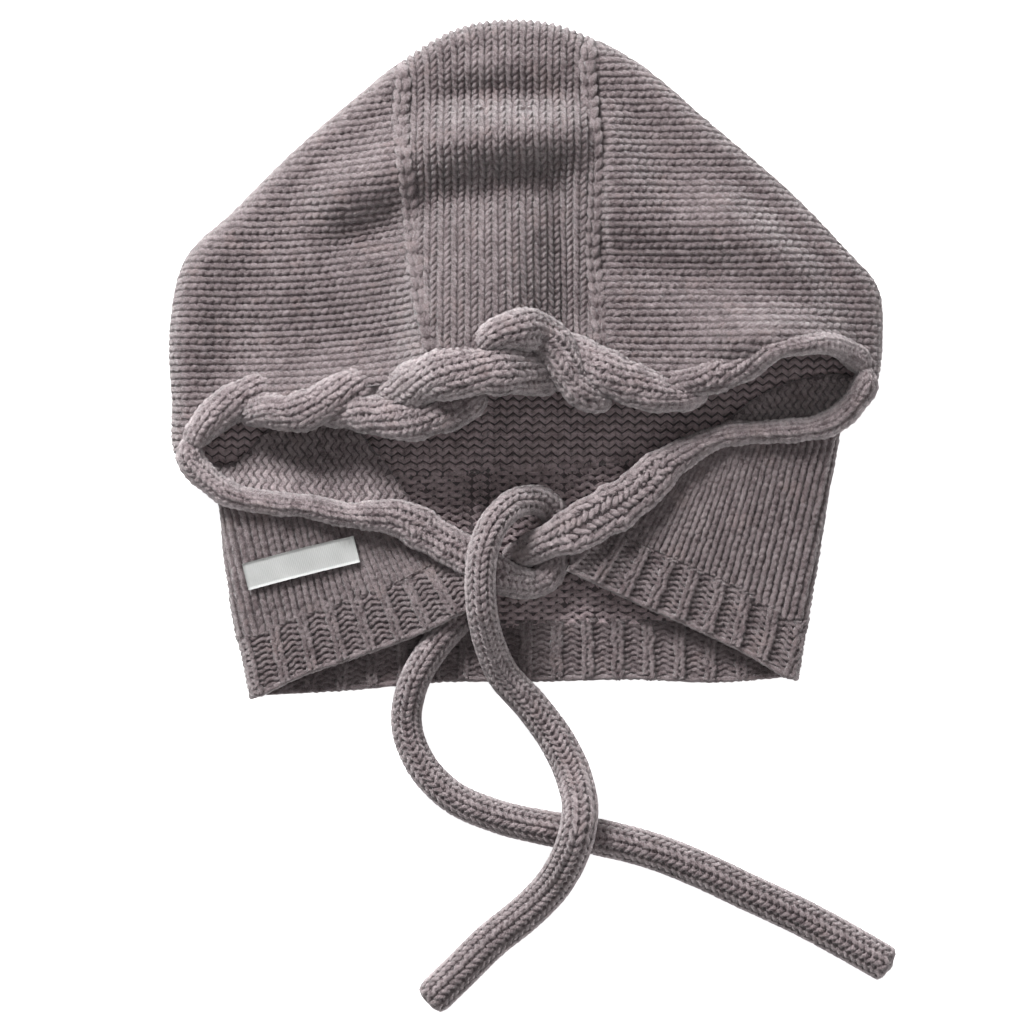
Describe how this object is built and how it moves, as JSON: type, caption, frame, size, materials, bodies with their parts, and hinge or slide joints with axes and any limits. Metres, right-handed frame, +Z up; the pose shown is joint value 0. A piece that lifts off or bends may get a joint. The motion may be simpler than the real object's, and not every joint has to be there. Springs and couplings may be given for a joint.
{
  "type": "knitted balaclava",
  "caption": "Child's hand-knitted wool balaclava lying flat, with an open face, a rolled twisted brim, a ribbed neck cape and loosely knotted knitted ties.",
  "frame": {"origin": "middle of the balaclava's box without its ties, on the surface that it lies on", "axes": "+X across the hood towards the right of the picture, +Y towards the crown, +Z up from the surface"},
  "size_m": [0.2525, 0.3484, 0.0375],
  "materials": {
    "wool_knit": "matte wool stocking stitch, heather mauve brown",
    "casing_knit": "matte rolled wool knit",
    "rib_knit": "matte wool rib, one by one",
    "seam_chain": "matte wool chain stitch",
    "tie_knit": "matte knitted wool cord",
    "label_tape": "satin woven tape, bare"
  },
  "bodies": {
    "root": {"crown_panel": "wool_knit", "side_panel_left": "wool_knit", "side_panel_right": "wool_knit", "neck_cape": "wool_knit", "ribbed_hem": "rib_knit", "face_casing": "casing_knit", "seam_chain_left": "seam_chain", "seam_chain_right": "seam_chain", "tie_left": "tie_knit", "tie_right": "tie_knit", "label": "label_tape"}
  },
  "joints": []
}
